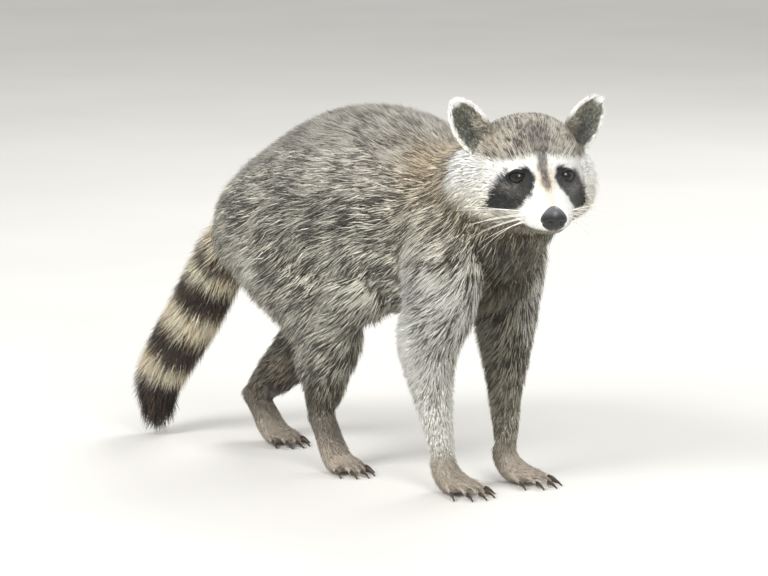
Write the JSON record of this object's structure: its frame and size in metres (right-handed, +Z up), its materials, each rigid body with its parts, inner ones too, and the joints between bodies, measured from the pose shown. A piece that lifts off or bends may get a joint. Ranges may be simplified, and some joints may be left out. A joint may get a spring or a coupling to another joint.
{
  "type": "raccoon model",
  "caption": "Life-size still model of a raccoon standing on four legs, head turned to its right, ringed tail hanging down.",
  "frame": {"origin": "on the floor, under the middle of the animal's box", "axes": "+X forward along the trunk, +Y to the animal's left, +Z up"},
  "size_m": [0.5742, 0.1946, 0.3665],
  "materials": {
    "body_coat": "long coarse grizzled grey-brown fur",
    "face_coat": "short soft fur, white with a black mask",
    "ear_coat": "short fur, dark inside with a white rim",
    "tail_coat": "bushy fur, buff and dark brown rings",
    "paw_coat": "very short pale fur over grey-pink skin",
    "nose": "moist black, finely pebbled",
    "eye": "polished dark brown",
    "claw": "smooth dark horn"
  },
  "bodies": {
    "root": {"trunk": "body_coat", "neck": "body_coat", "tail": "tail_coat", "head": "face_coat", "nose_pad": "nose", "eye_left": "eye", "ear_left": "ear_coat", "eye_right": "eye", "ear_right": "ear_coat", "left_fore_leg": "body_coat", "left_fore_paw": "paw_coat", "left_fore_claw_1": "claw", "left_fore_claw_2": "claw", "left_fore_claw_3": "claw", "left_fore_claw_4": "claw", "left_fore_claw_5": "claw", "right_fore_leg": "body_coat", "right_fore_paw": "paw_coat", "right_fore_claw_1": "claw", "right_fore_claw_2": "claw", "right_fore_claw_3": "claw", "right_fore_claw_4": "claw", "right_fore_claw_5": "claw", "left_hind_leg": "body_coat", "left_hind_paw": "paw_coat", "left_hind_claw_1": "claw", "left_hind_claw_2": "claw", "left_hind_claw_3": "claw", "left_hind_claw_4": "claw", "left_hind_claw_5": "claw", "right_hind_leg": "body_coat", "right_hind_paw": "paw_coat", "right_hind_claw_1": "claw", "right_hind_claw_2": "claw", "right_hind_claw_3": "claw", "right_hind_claw_4": "claw", "right_hind_claw_5": "claw"}
  },
  "joints": []
}
